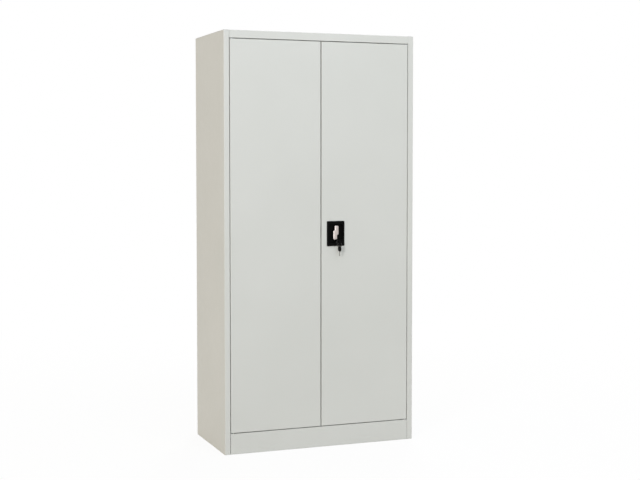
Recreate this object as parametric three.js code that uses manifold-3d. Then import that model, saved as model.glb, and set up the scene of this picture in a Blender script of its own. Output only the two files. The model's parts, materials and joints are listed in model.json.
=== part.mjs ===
// Two-door steel storage cupboard, shut and unlocked, with its keys in the lock.
// Millimetres, +Z up, front facing -Y. The origin is on the floor, at the centre of the footprint.
// Pieces are drawn in place: x from the centre line, y back from the front face, z up from the floor.
import * as THREE from 'three';
import { mergeVertices } from 'three/addons/utils/BufferGeometryUtils.js';
import Module from 'manifold-3d';

const wasm = await Module();
wasm.setup();

// Whole cupboard
const height = 1850;
const width = 900;
const depth = 450;

// Sheet steel, and the gaps that pieces keep
const sheet = 0.8;
const bend = 0.8; // inside radius of a fold
const seam = 0.3; // between pieces that touch
const slide = 0.4; // round a piece that slides through a slot
const overrun = 5; // of a cutter past what it cuts
const bendSteps = 2;
const curveSteps = 5;
const roundSides = 24;

// Frame round the doors
const stile = 25;
const topRail = 34;
const plinthHeight = 91;
const postLip = 11;
const rearFlange = 18;
const topFlange = 20;
const endFlange = 14;
const endFlangeInset = 20;
const topStop = 12;
const sillFlange = 12;
const plinthFoot = 15;

// Floor and back
const floorStep = 12; // of the floor above the sill, which stops the doors
const floorDepth = 40;
const floorLip = 12;
const backLap = 20;
const lapRise = 2; // run of the joggle beside the lap

// Doors
const reveal = 3; // between a door and the frame
const sillGap = 3.5; // between a door and the sill
const meetingGap = 4.5;
const doorDepth = 24;
const doorRest = 3.5; // between a shut door and its stop
const doorLip = 14;
const stiffenerWidth = 70;
const stiffenerFoot = 12;
const stiffenerDepth = 18;
const bufferRadius = 4.5;
const bufferX = 30;

// Door pivots
const pivotInset = 10; // of the axis from the door's edge
const pivotY = 6.5;
const pinRadius = 3;
const pinReach = 9; // of a pin beyond the door
const pinPlate = 2.5;
const pinPlateWidth = 21;
const bushWall = 1.5;
const bushFlangeRadius = 6.2;
const bushLength = 7;

// Shelves and what carries them
const uprightWeb = 30;
const uprightFoot = 10;
const frontUprightY = 70;
const rearUprightInset = 37; // of the rear upright's web from the back
const slotWidth = 16;
const slotHeight = 4.5;
const slotPitch = 50;
const firstSlot = 45;
const lastSlotMargin = 60;
const shelfSlots = [6, 13, 20, 27]; // the slot that carries each shelf, counted from the floor
const shelfThickness = 28;
const shelfLip = 12;
const shelfSetback = 12.5;
const shelfRearGap = 3;
const clipSheet = 1.5;
const clipBend = 0.5;
const clipWidth = 14;
const clipLedge = 14;
const clipDrop = 24; // from the top of the tongue to the ledge
const clipHook = 7;

// Lock plate and dish on the right door
const plateX = 69;
const plateZ = 960;
const plateWidth = 84;
const plateHeight = 112;
const plateThickness = 2.5;
const plateRadius = 4;
const plateBevel = 0.8;
const bodyWidth = 74;
const bodyHeight = 102;
const bodyRadius = 6;
const dishWidth = 70;
const dishHeight = 86;
const dishRadius = 8;
const dishCornerRadius = 3;
const dishDepth = 10; // of the dish floor behind the door's face
const dishFloor = 2.5;

// Turn handle: two lobes that overlap side by side
const leverRise = 4; // of its axis above the plate's centre
const leverHeight = 64;
const leverWidth = 27;
const lobeWidth = 19;
const lobeOverlap = 12; // of each lobe past the axis, to the end of its step
const lobeRadius = 5;
const stepRise = 5; // of the slope from one lobe to the other
const stepRadius = 3;
const wingFront = -9;
const wingRear = 1;
const wingBevel = 2;
const hubRadius = 8.5;
const shaftRadius = 5;
const squareSide = 7;

// Rack and pinion
const toothModule = 1.25;
const toothCount = 20;
const pressureAngle = THREE.MathUtils.degToRad(20);
const backlash = 0.4;
const footShare = 1.25; // depth of a tooth below the pitch line, in modules
const rackTeeth = 8;
const leadTeeth = 2; // of the rack teeth that lie ahead of the pinion's centre at rest
const barThickness = 3;
const rodWidth = 12;
const boltWidth = 10;
const boltFront = 14; // of the layer the centre bolt slides in
const layerGap = 0.6;
const tipSetback = 4; // of a bar's tip behind the door's edge when unlocked

// Lock case, rod guides and strike plate
const caseWidth = 66;
const caseHeight = 102;
const caseDepth = 9.5;
const guideWall = 5;
const guideRear = 2;
const guideHeight = 16;
const guideInset = 300; // of each rod guide from the door's end
const strikeThickness = 1.5;
const strikeHeight = 60;
const strikeMargin = 2;

// Cylinder and its plug
const cylinderX = 11; // from the plate's centre
const cylinderDrop = 40;
const islandRadius = 11;
const barrelRadius = 9;
const rimRadius = 10.5;
const rimThickness = 0.9;
const barrelRear = 17.7;
const plugRadius = 6;
const neckRadius = 5;
const camThickness = 2.5;
const camReach = 16;
const camWidth = 6;

// Keys, drawn about the hole in the head, with the blade towards +Y
const headLength = 24;
const headHeight = 22;
const headThickness = 8;
const headRadius = 10;
const headBevel = 1;
const headGap = 1; // of the key's head in front of the plug
const holeInset = 6.5;
const holeRadius = 3;
const bladeThickness = 2;
const bladeHeight = 7;
const bladeLength = 21;
const tangLength = 8;
const cutDepthShares = [0.2, 0.38, 0.14, 0.3, 0.24]; // of the blade's height
const cutFlatShare = 0.3; // of the spacing of the cuts
const ringRadius = 10;
const wireRadius = 0.9;

// Places worked out from the sizes above
const halfWidth = width / 2;
const halfOpening = halfWidth - stile;
const openingTop = height - topRail;
const jambDepth = doorDepth + doorRest;
const wallTop = height - sheet - seam;
const wallInner = halfWidth - sheet - seam;
const backFace = depth - sheet - seam;
const backInner = backFace - 2 * sheet - seam;
const floorTop = plinthHeight + floorStep;
const doorHinge = halfOpening - reveal;
const doorFree = meetingGap / 2;
const doorTop = openingTop - reveal;
const doorBottom = plinthHeight + sillGap;
const doorMiddle = (doorHinge + doorFree) / 2;
const pivotX = doorHinge - pivotInset;
const doorInner = sheet + seam; // front of what is fixed to the back of a door's face
const bushBore = pinRadius + seam;
const sleeveRadius = bushBore + bushWall;

const uprightBase = floorTop + seam;
const uprightTop = wallTop - sheet - seam;
const rearUprightY = backInner - rearUprightInset - uprightWeb;
const slotSpan = uprightTop - lastSlotMargin - floorTop - firstSlot;
const slotCount = 1 + Math.floor(slotSpan / slotPitch);
const slotZ = (slot) => floorTop + firstSlot + slot * slotPitch;
const tongueTop = (slot) => slotZ(slot) - slotHeight / 2 + seam + clipSheet;
const ledgeTop = (slot) => tongueTop(slot) - clipDrop;
const clipFace = halfOpening - seam - clipSheet;

const plateFront = -seam - plateThickness;
const dishBottom = plateZ - dishHeight / 2;
const housingRear = dishDepth + dishFloor;
const leverZ = plateZ + leverRise;
const plugX = plateX + cylinderX;
const plugZ = plateZ - cylinderDrop;
const rimFront = plateFront - seam - rimThickness;

const pitchRadius = (toothModule * toothCount) / 2;
const toothPitch = Math.PI * toothModule;
const rodFront = boltFront + barThickness + layerGap;
const rodLayer = [rodFront, rodFront + barThickness];
const boltLayer = [boltFront, boltFront + barThickness];
const barInner = pitchRadius + footShare * toothModule;
const upperRodX = [plateX + barInner, plateX + barInner + rodWidth];
const lowerRodX = [plateX - barInner - rodWidth, plateX - barInner];
const boltZ = [leverZ + barInner, leverZ + barInner + boltWidth];
const caseFront = housingRear + seam;
const caseInner = caseFront + caseDepth - sheet;

const headFront = rimFront - headGap; // where the head ends and the bare blade starts
const keyHoleY = headFront - headLength + holeInset;
const ringDrop = holeRadius - seam - wireRadius - ringRadius
  + Math.sqrt(ringRadius ** 2 - (headThickness / 2) ** 2);
const spareKeyZ = plugZ - 2 * (ringRadius + ringDrop);
const frontReach = headHeight / 2 - keyHoleY;

// Materials
const paint = new THREE.MeshStandardMaterial({ color: 0xd3d6d0, roughness: 0.45, metalness: 0.1 });
const zinc = new THREE.MeshStandardMaterial({ color: 0xb4b7ba, roughness: 0.4, metalness: 0.9 });
const nickel = new THREE.MeshStandardMaterial({ color: 0xa39c90, roughness: 0.3, metalness: 1 });
const blackNickel = new THREE.MeshStandardMaterial({ color: 0x3a393b, roughness: 0.3, metalness: 1 });
const chrome = new THREE.MeshStandardMaterial({ color: 0xd8d6d4, roughness: 0.15, metalness: 1 });
const blackPlastic = new THREE.MeshStandardMaterial({ color: 0x161414, roughness: 0.4 });
const whiteNylon = new THREE.MeshStandardMaterial({ color: 0xe6e4dc, roughness: 0.5 });
const rubber = new THREE.MeshStandardMaterial({ color: 0x2a2a2a, roughness: 0.8 });

// The points of a closed outline through corners [x, y, radius], with an arc at each round corner.
function outline(corners, steps = bendSteps) {
  const places = corners.map(([x, y]) => new THREE.Vector2(x, y));
  return corners.flatMap(([, , radius = 0], i) => {
    const corner = places[i];
    if (radius === 0) return [corner];
    const toBefore = places.at(i - 1).clone().sub(corner).normalize();
    const toAfter = places[(i + 1) % places.length].clone().sub(corner).normalize();
    const half = Math.acos(toBefore.dot(toAfter)) / 2;
    const start = corner.clone().addScaledVector(toBefore, radius / Math.tan(half));
    const end = corner.clone().addScaledVector(toAfter, radius / Math.tan(half));
    const bisector = toBefore.clone().add(toAfter).normalize();
    const centre = corner.clone().addScaledVector(bisector, radius / Math.sin(half));
    const startAngle = start.sub(centre).angle();
    const endAngle = end.sub(centre).angle();
    const clockwise = toBefore.cross(toAfter) > 0;
    const arc = new THREE.EllipseCurve(
      centre.x, centre.y, radius, radius, startAngle, endAngle, clockwise,
    );
    return arc.getPoints(steps);
  });
}

// The outline of sheet folded along a path of corners, with the metal on the left of the path.
function folded(path, thickness = sheet, inside = bend) {
  const places = path.map(([x, y]) => new THREE.Vector2(x, y));
  const normals = places.slice(1).map((end, i) => {
    const run = end.clone().sub(places[i]).normalize();
    return new THREE.Vector2(-run.y, run.x);
  });
  const face = [];
  const back = [];
  places.forEach((place, i) => {
    const before = normals[Math.max(i - 1, 0)];
    const after = normals[Math.min(i, normals.length - 1)];
    const offset = before.clone().add(after).multiplyScalar(thickness / (1 + before.dot(after)));
    const turn = Math.sign(before.cross(after));
    const radius = turn === 0 ? 0 : inside + thickness / 2;
    const tighter = (turn * thickness) / 2;
    face.push([place.x, place.y, radius + tighter]);
    back.unshift([place.x + offset.x, place.y + offset.y, radius - tighter]);
  });
  return outline([...face, ...back]);
}

function rectangle(x, y, wide, tall, radius, steps = curveSteps) {
  return outline([
    [x - wide / 2, y - tall / 2, radius],
    [x + wide / 2, y - tall / 2, radius],
    [x + wide / 2, y + tall / 2, radius],
    [x - wide / 2, y + tall / 2, radius],
  ], steps);
}

function circle(x, y, radius) {
  return new THREE.EllipseCurve(x, y, radius, radius).getPoints(roundSides).slice(1);
}

// Closed geometry as a solid that can be joined and cut, and back again.
function solid(geometry) {
  geometry.deleteAttribute('normal');
  geometry.deleteAttribute('uv');
  const merged = mergeVertices(geometry);
  return new wasm.Manifold(new wasm.Mesh({
    numProp: 3,
    vertProperties: merged.getAttribute('position').array,
    triVerts: new Uint32Array(merged.index.array),
  }));
}

function geometryOf(body) {
  const mesh = body.getMesh();
  const geometry = new THREE.BufferGeometry();
  geometry.setAttribute('position', new THREE.BufferAttribute(mesh.vertProperties, 3));
  geometry.setIndex(new THREE.BufferAttribute(mesh.triVerts, 1));
  return geometry;
}

function moved(body, matrix) {
  return solid(geometryOf(body).applyMatrix4(matrix));
}

function raised(points, length, bevel = 0) {
  return new THREE.ExtrudeGeometry(new THREE.Shape(points), {
    depth: length - 2 * bevel,
    bevelEnabled: bevel > 0,
    bevelThickness: bevel,
    bevelSize: bevel,
    bevelOffset: -bevel,
    bevelSegments: bendSteps,
  }).translate(0, 0, bevel);
}

// Sections made solid: a plan of x and y, a side view of y and z, and a front view of x and z.
function upward(points, [from, to]) {
  return solid(raised(points, to - from).translate(0, 0, from));
}

function sideways(points, [from, to], bevel) {
  const turned = new THREE.Matrix4().makeBasis(
    new THREE.Vector3(0, 1, 0), new THREE.Vector3(0, 0, 1), new THREE.Vector3(1, 0, 0),
  );
  return solid(raised(points, to - from, bevel).applyMatrix4(turned).translate(from, 0, 0));
}

function inward(points, [from, to], bevel) {
  return solid(raised(points, to - from, bevel).rotateX(Math.PI / 2).translate(0, to, 0));
}

function block([x0, x1], [y0, y1], [z0, z1]) {
  const box = new THREE.BoxGeometry(x1 - x0, y1 - y0, z1 - z0);
  return solid(box.translate((x0 + x1) / 2, (y0 + y1) / 2, (z0 + z1) / 2));
}

const grown = ([from, to], by) => [from - by, to + by];
const around = (middle, size) => [middle - size / 2, middle + size / 2];
const ordered = (a, b) => [Math.min(a, b), Math.max(a, b)];
const sided = (side, [from, to]) => ordered(side * from, side * to);

// A folded tray with its face at z = 0, its walls below it and a lip round its mouth.
function tray(wide, long, deep, lip) {
  const shell = (inset) => {
    const profile = (size) => outline([
      [inset - size / 2, inset - deep],
      [size / 2 - inset, inset - deep],
      [size / 2 - inset, -inset, bend + sheet - inset],
      [inset - size / 2, -inset, bend + sheet - inset],
    ]);
    const along = inward(profile(wide), around(0, long - 2 * inset));
    return along.intersect(sideways(profile(long), around(0, wide)));
  };
  const mouth = block(
    around(0, wide - 2 * lip), around(0, long - 2 * lip), [-deep - overrun, 2 * sheet - deep],
  );
  return shell(0).subtract(shell(sheet)).subtract(mouth);
}

function trayAt(x, y, z, wide, long, deep, lip) {
  return moved(tray(wide, long, deep, lip), new THREE.Matrix4().makeTranslation(x, y, z));
}

// Carcass: what has a left and a right hand is drawn for the right.
function sidePanel() {
  const plan = folded([
    [halfOpening + postLip, jambDepth],
    [halfOpening, jambDepth],
    [halfOpening, 0],
    [halfWidth, 0],
    [halfWidth, depth],
    [halfWidth - rearFlange, depth],
  ]);
  const flange = (z) => block(
    [halfWidth - endFlange, halfWidth - sheet / 2],
    [jambDepth + seam, depth - endFlangeInset],
    [z, z + sheet],
  );
  return upward(plan, [0, wallTop]).add(flange(0)).add(flange(wallTop - sheet));
}

function topPanel() {
  let panel = sideways(folded([
    [depth, height - topFlange],
    [depth, height],
    [0, height],
    [0, openingTop],
    [jambDepth, openingTop],
    [jambDepth, openingTop - topStop],
  ]), [-halfWidth, halfWidth]);
  const under = [openingTop - topStop - overrun, height - sheet];
  const railReturn = [openingTop - overrun, openingTop + overrun];
  for (const side of [-1, 1]) {
    const stileEnd = sided(side, [halfOpening - seam, halfWidth + overrun]);
    const flangeEnd = sided(side, [halfWidth - rearFlange - seam, halfWidth + overrun]);
    panel = panel
      .subtract(block(stileEnd, [-overrun, jambDepth + overrun], under))
      .subtract(block(flangeEnd, [depth - bend - sheet, depth + overrun], under))
      .subtract(upward(circle(side * pivotX, pivotY, pinRadius + seam), railReturn));
  }
  return panel.subtract(block(grown(upperRodX, slide), grown(rodLayer, slide), railReturn));
}

function plinth() {
  let panel = sideways(folded([
    [jambDepth, plinthHeight - sillFlange],
    [jambDepth, plinthHeight],
    [0, plinthHeight],
    [0, 0],
    [plinthFoot, 0],
  ]), [seam - halfOpening, halfOpening - seam]);
  const sill = [plinthHeight - overrun, plinthHeight + overrun];
  for (const side of [-1, 1]) {
    panel = panel.subtract(upward(circle(side * pivotX, pivotY, sleeveRadius + seam), sill));
  }
  return panel.subtract(block(grown(lowerRodX, slide), grown(rodLayer, slide), sill));
}

function floorPanel() {
  const front = jambDepth + seam;
  const rear = backInner - seam;
  const middle = (front + rear) / 2;
  return trayAt(0, middle, floorTop, 2 * wallInner, rear - front, floorDepth, floorLip);
}

function backPanel(path) {
  return upward(folded(path), [0, wallTop]);
}

const plainBack = () => backPanel([[backLap / 2, backFace], [-wallInner, backFace]]);

const joggledBack = () => backPanel([
  [wallInner, backFace],
  [backLap / 2 + seam + sheet + lapRise, backFace],
  [backLap / 2 + seam + sheet, backFace - sheet - seam],
  [-backLap / 2, backFace - sheet - seam],
]);

function shelfUpright(webY) {
  const footX = wallInner - sheet;
  const plan = folded([
    [footX, webY + uprightWeb + uprightFoot],
    [footX, webY + uprightWeb],
    [halfOpening, webY + uprightWeb],
    [halfOpening, webY],
    [footX, webY],
    [footX, webY - uprightFoot],
  ]);
  let upright = upward(plan, [uprightBase, uprightTop]);
  for (let slot = 0; slot < slotCount; slot += 1) {
    upright = upright.subtract(block(
      around(halfOpening, 4 * sheet),
      around(webY + uprightWeb / 2, slotWidth),
      around(slotZ(slot), slotHeight),
    ));
  }
  return upright;
}

function shelfClip(webY, slot) {
  const hookX = halfOpening + sheet + seam + clipSheet;
  const section = folded([
    [hookX, tongueTop(slot) - clipHook],
    [hookX, tongueTop(slot)],
    [clipFace, tongueTop(slot)],
    [clipFace, ledgeTop(slot)],
    [halfOpening - clipLedge, ledgeTop(slot)],
  ], clipSheet, clipBend);
  return inward(section, around(webY + uprightWeb / 2, clipWidth));
}

function shelf(slot) {
  const front = jambDepth + shelfSetback;
  const rear = backInner - shelfRearGap;
  const top = ledgeTop(slot) + seam + shelfThickness;
  const wide = 2 * (clipFace - seam);
  return trayAt(0, (front + rear) / 2, top, wide, rear - front, shelfThickness, shelfLip);
}

function pivotBush() {
  const sleeve = upward(
    circle(pivotX, pivotY, sleeveRadius), [plinthHeight - bushLength, doorBottom - seam],
  );
  const flange = upward(
    circle(pivotX, pivotY, bushFlangeRadius), [plinthHeight + seam, doorBottom - seam],
  );
  const bore = upward(
    circle(pivotX, pivotY, bushBore), [plinthHeight - bushLength - overrun, doorBottom + overrun],
  );
  return sleeve.add(flange).subtract(bore);
}

function doorBuffer() {
  const z = (openingTop - topStop + doorTop) / 2;
  return inward(circle(bufferX, z, bufferRadius), [doorDepth + seam, jambDepth - seam]);
}

// Doors
function doorPanel() {
  const face = new THREE.Matrix4().makeRotationX(Math.PI / 2);
  face.setPosition(doorMiddle, 0, (doorTop + doorBottom) / 2);
  const pan = tray(doorHinge - doorFree, doorTop - doorBottom, doorDepth, doorLip);
  const pinHole = circle(pivotX, pivotY, pinRadius + seam);
  return moved(pan, face)
    .subtract(upward(pinHole, grown([doorTop, doorTop], overrun)))
    .subtract(upward(pinHole, grown([doorBottom, doorBottom], overrun)))
    .subtract(block(around(doorFree, overrun), grown(boltLayer, slide), grown(boltZ, slide)));
}

function lockDoorPanel() {
  const cutOut = rectangle(plateX, plateZ, bodyWidth + 2 * seam, bodyHeight + 2 * seam, bodyRadius);
  const rods = grown(rodLayer, slide);
  return doorPanel()
    .subtract(inward(cutOut, around(0, 2 * overrun)))
    .subtract(block(grown(upperRodX, slide), rods, grown([doorTop, doorTop], overrun)))
    .subtract(block(grown(lowerRodX, slide), rods, grown([doorBottom, doorBottom], overrun)));
}

function doorStiffener() {
  const web = doorInner + stiffenerDepth;
  const foot = doorInner + sheet;
  const [left, right] = around(doorMiddle, stiffenerWidth);
  const plan = folded([
    [right + stiffenerFoot, foot],
    [right, foot],
    [right, web],
    [left, web],
    [left, foot],
    [left - stiffenerFoot, foot],
  ]);
  return upward(plan, [doorBottom + sheet + seam, doorTop - sheet - seam]);
}

function pivotPin(edge, way) {
  const inner = edge - way * (sheet + seam);
  const plateRight = doorHinge - sheet - seam;
  const plate = block(
    [plateRight - pinPlateWidth, plateRight],
    [doorInner, doorDepth - sheet - seam],
    ordered(inner, inner - way * pinPlate),
  );
  const pin = upward(
    circle(pivotX, pivotY, pinRadius), ordered(inner - way * pinPlate, edge + way * pinReach),
  );
  return plate.add(pin);
}

function strikePlate() {
  const face = doorFree + sheet + seam;
  const plate = block(
    [-face - strikeThickness, -face],
    [doorInner + strikeMargin, doorDepth - sheet - seam],
    around((boltZ[0] + boltZ[1]) / 2, strikeHeight),
  );
  const slot = block(
    around(-face, 4 * strikeThickness), grown(boltLayer, slide), grown(boltZ, slide),
  );
  return plate.subtract(slot);
}

// Lock: the dish is notched at its lower right corner, where the cylinder stands
function lockHousing() {
  const plate = inward(
    rectangle(plateX, plateZ, plateWidth, plateHeight, plateRadius),
    [plateFront, plateBevel - seam],
    plateBevel,
  ).subtract(block(
    around(plateX, 2 * plateWidth), [-seam, overrun], around(plateZ, 2 * plateHeight),
  ));
  const box = inward(
    rectangle(plateX, plateZ, bodyWidth, bodyHeight, bodyRadius - seam),
    [plateFront + plateBevel, housingRear],
  );
  const [left, right] = around(plateX, dishWidth);
  const islandTop = plugZ + islandRadius;
  const islandLeft = plugX - islandRadius;
  const dish = outline([
    [left, dishBottom, dishRadius],
    [islandLeft, dishBottom, dishCornerRadius],
    [islandLeft, islandTop, islandRadius],
    [right, islandTop, dishCornerRadius],
    [right, dishBottom + dishHeight, dishRadius],
    [left, dishBottom + dishHeight, dishRadius],
  ], curveSteps);
  const through = [plateFront - overrun, housingRear + overrun];
  return plate.add(box)
    .subtract(inward(dish, [plateFront - overrun, dishDepth]))
    .subtract(inward(circle(plateX, leverZ, shaftRadius + seam), through))
    .subtract(inward(circle(plugX, plugZ, barrelRadius + seam), through));
}

function lockCase() {
  const middle = new THREE.Matrix4().makeRotationX(-Math.PI / 2);
  middle.setPosition(plateX, caseFront + caseDepth, plateZ);
  const shell = moved(tray(caseWidth, caseHeight, caseDepth, sheet), middle);
  const rods = grown(rodLayer, slide);
  const top = plateZ + caseHeight / 2;
  const bottom = plateZ - caseHeight / 2;
  const left = plateX - caseWidth / 2;
  return shell
    .subtract(block(grown(upperRodX, slide), rods, grown([top, top], overrun)))
    .subtract(block(grown(lowerRodX, slide), rods, grown([bottom, bottom], overrun)))
    .subtract(block(grown([left, left], overrun), grown(boltLayer, slide), grown(boltZ, slide)));
}

function leverHandle() {
  const tall = leverHeight / 2;
  const half = leverWidth / 2;
  const inner = lobeWidth - half;
  const lobe = [
    [-inner, tall, stepRadius],
    [half, tall, lobeRadius],
    [half, stepRise - lobeOverlap, stepRadius],
    [inner, -lobeOverlap, stepRadius],
  ];
  const whole = [...lobe, ...lobe.map(([x, z, radius]) => [-x, -z, radius])];
  const wing = outline(whole.map(([x, z, radius]) => [plateX + x, leverZ + z, radius]), curveSteps);
  const hub = inward(circle(plateX, leverZ, hubRadius), [wingRear - wingBevel, dishDepth - seam]);
  const shaft = inward(circle(plateX, leverZ, shaftRadius), [wingRear, caseFront]);
  const square = block(
    around(plateX, squareSide), [dishDepth, caseInner - seam], around(leverZ, squareSide),
  );
  return inward(wing, [wingFront, wingRear], wingBevel).add(hub).add(shaft).add(square);
}

// Pinion with involute teeth, one of which points at each rack
function lockPinion() {
  const baseRadius = pitchRadius * Math.cos(pressureAngle);
  const tipRadius = pitchRadius + toothModule;
  const rootRadius = pitchRadius - footShare * toothModule;
  const involute = (angle) => Math.tan(angle) - angle;
  const halfAngle = (radius) => Math.PI / (2 * toothCount) - backlash / (4 * pitchRadius)
    + involute(pressureAngle) - involute(Math.acos(baseRadius / radius));
  const flankSteps = 3;
  const flank = [[rootRadius, halfAngle(baseRadius)]];
  for (let step = 0; step <= flankSteps; step += 1) {
    const radius = THREE.MathUtils.lerp(baseRadius, tipRadius, step / flankSteps);
    flank.push([radius, halfAngle(radius)]);
  }
  const tooth = [...flank.map(([radius, angle]) => [radius, -angle]), ...flank.toReversed()];
  const points = [];
  for (let i = 0; i < toothCount; i += 1) {
    const turn = (2 * Math.PI * i) / toothCount;
    for (const [radius, angle] of tooth) {
      const direction = new THREE.Vector2(Math.cos(turn + angle), Math.sin(turn + angle));
      points.push(direction.multiplyScalar(radius).add(new THREE.Vector2(plateX, leverZ)));
    }
  }
  const square = squareSide + 2 * seam;
  const across = [caseFront + layerGap, caseInner - 2 * seam];
  const bore = block(around(plateX, square), grown(across, overrun), around(leverZ, square));
  return inward(points, across).subtract(bore);
}

// A bar with rack teeth on its inner edge, drawn for the upper rod and turned about the pinion
function rackBar(tip, barWidth, turn, layer) {
  const halfPitchLine = toothPitch / 4 - backlash / 4;
  const halfTip = halfPitchLine - toothModule * Math.tan(pressureAngle);
  const halfRoot = halfPitchLine + footShare * toothModule * Math.tan(pressureAngle);
  const toothTip = pitchRadius - toothModule;
  const tail = (leadTeeth - rackTeeth) * toothPitch - halfRoot;
  const corners = [[barInner, tail], [barInner + barWidth, tail]];
  corners.push([barInner + barWidth, tip], [barInner, tip]);
  for (let i = leadTeeth - 1; i >= leadTeeth - rackTeeth; i -= 1) {
    const middle = (i + 1 / 2) * toothPitch;
    corners.push([barInner, middle + halfRoot], [toothTip, middle + halfTip]);
    corners.push([toothTip, middle - halfTip], [barInner, middle - halfRoot]);
  }
  const axis = new THREE.Vector2(plateX, leverZ);
  const points = corners.map(([x, z]) => {
    const corner = new THREE.Vector2(x, z).rotateAround(new THREE.Vector2(), turn);
    return corner.add(axis);
  });
  return inward(points, layer);
}

function rodGuide(rodX, z) {
  const channel = block(
    grown(rodX, guideWall), [doorInner, rodLayer[1] + seam + guideRear], around(z, guideHeight),
  );
  const slot = block(grown(rodX, seam), grown(rodLayer, seam), around(z, 2 * guideHeight));
  return channel.subtract(slot);
}

function cylinderBody() {
  const rim = inward(
    circle(plugX, plugZ, rimRadius), [rimFront, rimFront + rimThickness],
  );
  const barrel = inward(circle(plugX, plugZ, barrelRadius), [rimFront, barrelRear]);
  const bore = inward(circle(plugX, plugZ, plugRadius + seam), grown([rimFront, barrelRear], overrun));
  return rim.add(barrel).subtract(bore);
}

function cylinderPlug() {
  const camFront = barrelRear + seam;
  const round = inward(circle(plugX, plugZ, plugRadius), [rimFront, barrelRear]);
  const neck = inward(circle(plugX, plugZ, neckRadius), [barrelRear - overrun, camFront + camThickness]);
  const cam = inward(outline([
    [plugX - camWidth / 2, plugZ - camWidth / 2],
    [plugX + camReach, plugZ - camWidth / 2, camWidth / 4],
    [plugX + camReach, plugZ + camWidth / 2, camWidth / 4],
    [plugX - camWidth / 2, plugZ + camWidth / 2],
  ]), [camFront, camFront + camThickness]);
  const keyway = block(
    around(plugX, bladeThickness + 2 * seam),
    [rimFront - overrun, headFront + bladeLength + seam],
    around(plugZ, bladeHeight + 2 * seam),
  );
  return round.add(neck).add(cam).subtract(keyway);
}

function keyBlade() {
  const start = headLength - holeInset - tangLength;
  const shoulder = headLength - holeInset;
  const end = shoulder + bladeLength;
  const half = bladeHeight / 2;
  const spacing = bladeLength / (cutDepthShares.length + 1);
  const flat = cutFlatShare * spacing;
  const cuts = cutDepthShares.flatMap((share, i) => {
    const y = end - spacing * (i + 1);
    const z = half - share * bladeHeight;
    return [[y + flat / 2, z], [y - flat / 2, z], [y - spacing / 2, half]];
  });
  return sideways(outline([
    [start, -half],
    [end - half, -half],
    [end, 0],
    [end - half / 2, half],
    ...cuts,
    [start, half],
  ]), around(0, bladeThickness));
}

function keyHead() {
  const middle = headLength / 2 - holeInset;
  const head = sideways(
    rectangle(middle, 0, headLength, headHeight, headRadius), around(0, headThickness), headBevel,
  );
  const hole = sideways(circle(0, 0, holeRadius), around(0, 2 * headThickness));
  const slot = block(
    around(0, bladeThickness + 2 * seam),
    [headLength - holeInset - tangLength - seam, headLength],
    around(0, bladeHeight + 2 * seam),
  );
  return head.subtract(hole).subtract(slot);
}

function keyRing() {
  const wireSides = 8;
  return new THREE.TorusGeometry(ringRadius, wireRadius, wireSides, roundSides).rotateX(Math.PI / 2);
}

// Assembly
function mesh(name, geometry, material) {
  const shown = geometry.toNonIndexed();
  shown.computeVertexNormals();
  const made = new THREE.Mesh(shown, material);
  made.name = name;
  return made;
}

const piece = (name, body, material) => mesh(name, geometryOf(body), material);

// The same piece on the right and, mirrored, on the left.
function pair(name, body, material) {
  const right = piece(name('right'), body, material);
  const left = piece(name('left'), body, material);
  left.scale.x = -1;
  return { left, right };
}

function key(prefix) {
  const group = new THREE.Group();
  group.add(piece(`${prefix}_blade`, keyBlade(), nickel), piece(`${prefix}_head`, keyHead(), blackPlastic));
  return group;
}

const cupboard = new THREE.Group();

const addPair = (name, body, material) => {
  const { left, right } = pair(name, body, material);
  cupboard.add(left, right);
};

addPair((side) => `side_panel_${side}`, sidePanel(), paint);
cupboard.add(
  piece('top_panel', topPanel(), paint),
  piece('plinth', plinth(), paint),
  piece('floor_panel', floorPanel(), paint),
  piece('back_panel_left', plainBack(), paint),
  piece('back_panel_right', joggledBack(), paint),
);
for (const [place, webY] of [['front', frontUprightY], ['rear', rearUprightY]]) {
  addPair((side) => `shelf_upright_${side}_${place}`, shelfUpright(webY), paint);
  shelfSlots.forEach((slot, i) => {
    addPair((side) => `shelf_clip_${i + 1}_${side}_${place}`, shelfClip(webY, slot), zinc);
  });
}
shelfSlots.forEach((slot, i) => cupboard.add(piece(`shelf_${i + 1}`, shelf(slot), paint)));
addPair((side) => `pivot_bush_${side}`, pivotBush(), whiteNylon);
addPair((side) => `door_buffer_${side}`, doorBuffer(), rubber);

const leftDoor = new THREE.Group();
const rightDoor = new THREE.Group();
cupboard.add(leftDoor, rightDoor);
rightDoor.add(piece('door_right_panel', lockDoorPanel(), paint));
const leftPanel = piece('door_left_panel', doorPanel(), paint);
leftPanel.scale.x = -1;
leftDoor.add(leftPanel, piece('strike_plate', strikePlate(), zinc));
const fittings = [
  pair((side) => `door_${side}_stiffener`, doorStiffener(), paint),
  pair((side) => `pivot_pin_${side}_top`, pivotPin(doorTop, 1), zinc),
  pair((side) => `pivot_pin_${side}_bottom`, pivotPin(doorBottom, -1), zinc),
];
for (const { left, right } of fittings) {
  leftDoor.add(left);
  rightDoor.add(right);
}

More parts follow.
